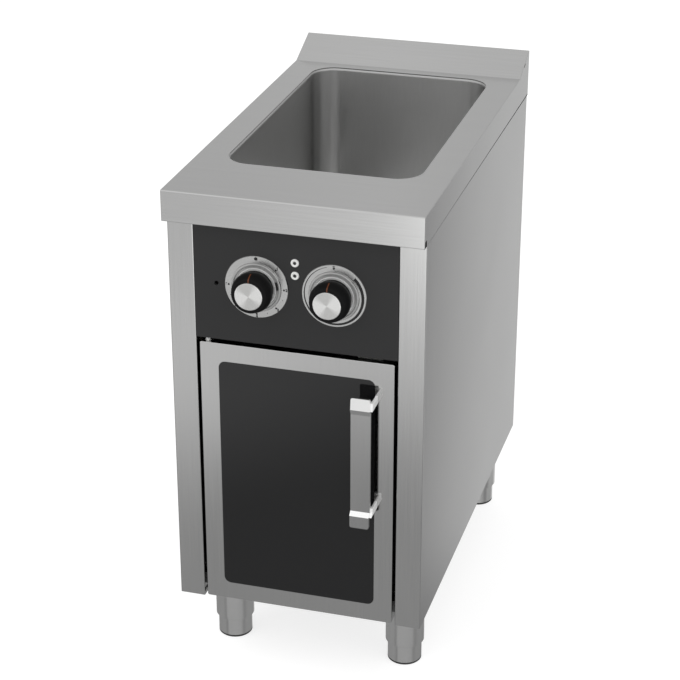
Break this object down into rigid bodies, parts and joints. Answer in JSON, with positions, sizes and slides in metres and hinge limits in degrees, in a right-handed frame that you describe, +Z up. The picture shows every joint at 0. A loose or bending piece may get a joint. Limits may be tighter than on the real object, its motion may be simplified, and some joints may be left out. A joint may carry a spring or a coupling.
{
  "type": "bain-marie",
  "caption": "Free-standing bain-marie: stainless worktop with a sloped upstand and a deep well for food containers, dial controls, and a cabinet with a black glass door, on adjustable feet.",
  "frame": {"origin": "on the floor, under the middle of the box that holds the whole part", "axes": "+X to the right as seen from the front, +Y to the back, +Z up"},
  "size_m": [0.4, 0.765, 0.8617],
  "materials": {
    "stainless": "brushed stainless sheet",
    "basin_steel": "satin drawn stainless",
    "steel_inside": "mill-finish sheet",
    "zinc": "zinc-plated hardware",
    "panel_dark": "dark grey satin coating",
    "door_glass": "black enamelled glass, opaque",
    "door_core": "rigid foam board",
    "dial_silver": "satin silver dial with a black printed scale",
    "knob_black": "gloss black",
    "knob_cap": "circular-brushed cap",
    "pointer_red": "orange-red inlay",
    "handle_metal": "satin chrome",
    "lamp_lens": "smoke-grey lens",
    "lamp_ring": "bright ring",
    "switch_black": "matt black moulding",
    "foot_steel": "satin stainless tube",
    "foot_insert": "satin stainless cup",
    "element_steel": "heat-darkened tube",
    "mineral_wool": "mineral wool board",
    "rubber": "black rubber",
    "brass_nickel": "nickel-plated brass",
    "lever_red": "red coated lever",
    "nylon_grey": "grey nylon",
    "nylon_white": "white nylon"
  },
  "bodies": {
    "cabinet": {"worktop": "stainless", "well_basin": "basin_steel", "heating_element": "element_steel", "element_clamps": "steel_inside", "stud_nuts": "zinc", "heat_shield": "steel_inside", "insulation_pad": "mineral_wool", "drain_strainer": "stainless", "drain_gasket": "rubber", "drain_locknut": "brass_nickel", "drain_pipe": "steel_inside", "drain_valve_body": "brass_nickel", "drain_outlet": "steel_inside", "side_panel_left": "stainless", "side_panel_right": "stainless", "back_panel": "steel_inside", "base_panel": "steel_inside", "cross_rails": "steel_inside", "control_shelf": "steel_inside", "foot_sleeves": "foot_steel", "base_screws": "zinc", "control_panel": "panel_dark", "dial_plate_left": "dial_silver", "dial_plate_right": "dial_silver", "power_regulator": "switch_black", "thermostat": "switch_black", "safety_limiter": "switch_black", "lamp_rings": "lamp_ring", "lamp_lenses": "lamp_lens", "lamp_bodies": "switch_black", "panel_screws": "zinc", "terminal_block": "nylon_white", "cable_gland": "nylon_grey", "earth_terminal": "brass_nickel", "hinge_pin_upper": "zinc", "hinge_bracket_lower": "zinc", "door_magnet": "nylon_white"},
    "door": {"door_skin": "stainless", "door_glass": "door_glass", "door_core": "door_core", "door_liner": "steel_inside", "door_bushes": "nylon_white", "handle_plate": "handle_metal", "handle_legs": "handle_metal", "handle_screws": "zinc"},
    "left_knob": {"knob_left": "knob_black", "knob_cap_left": "knob_cap", "knob_pointer_left": "pointer_red", "knob_shaft_left": "zinc"},
    "right_knob": {"knob_right": "knob_black", "knob_cap_right": "knob_cap", "knob_pointer_right": "pointer_red", "knob_shaft_right": "zinc"},
    "reset": {"reset_button": "switch_black"},
    "drain_lever": {"drain_valve_lever": "lever_red", "drain_valve_ball": "brass_nickel"},
    "front_left_foot": {"foot_front_left": "foot_insert"},
    "front_right_foot": {"foot_front_right": "foot_insert"},
    "rear_left_foot": {"foot_rear_left": "foot_insert"},
    "rear_right_foot": {"foot_rear_right": "foot_insert"}
  },
  "joints": [
    {"name": "door_swing", "type": "hinge", "parent": "cabinet", "child": "door", "pos_m": [-0.1425, -0.3325, 0.3625], "axis": [0, 0, -1], "range_deg": [0, 100]},
    {"name": "left_knob_turn", "type": "hinge", "parent": "cabinet", "child": "left_knob", "pos_m": [-0.06, -0.3625, 0.6865], "axis": [0, 1, 0], "range_deg": [0, 270]},
    {"name": "right_knob_turn", "type": "hinge", "parent": "cabinet", "child": "right_knob", "pos_m": [0.06, -0.3625, 0.6865], "axis": [0, 1, 0], "range_deg": [0, 300]},
    {"name": "reset_press", "type": "slide", "parent": "cabinet", "child": "reset", "axis": [0, 1, 0], "range_m": [0, 0.0025], "stiffness_N_per_m": 400, "springref_m": -0.001},
    {"name": "drain_lever_turn", "type": "hinge", "parent": "cabinet", "child": "drain_lever", "pos_m": [-0.0975, -0.1625, 0.5015], "axis": [0, 1, 0], "range_deg": [0, 90]},
    {"name": "front_left_foot_height", "type": "slide", "parent": "cabinet", "child": "front_left_foot", "axis": [0, 0, -1], "range_m": [0, 0.025]},
    {"name": "front_right_foot_height", "type": "slide", "parent": "cabinet", "child": "front_right_foot", "axis": [0, 0, -1], "range_m": [0, 0.025]},
    {"name": "rear_left_foot_height", "type": "slide", "parent": "cabinet", "child": "rear_left_foot", "axis": [0, 0, -1], "range_m": [0, 0.025]},
    {"name": "rear_right_foot_height", "type": "slide", "parent": "cabinet", "child": "rear_right_foot", "axis": [0, 0, -1], "range_m": [0, 0.025]}
  ]
}
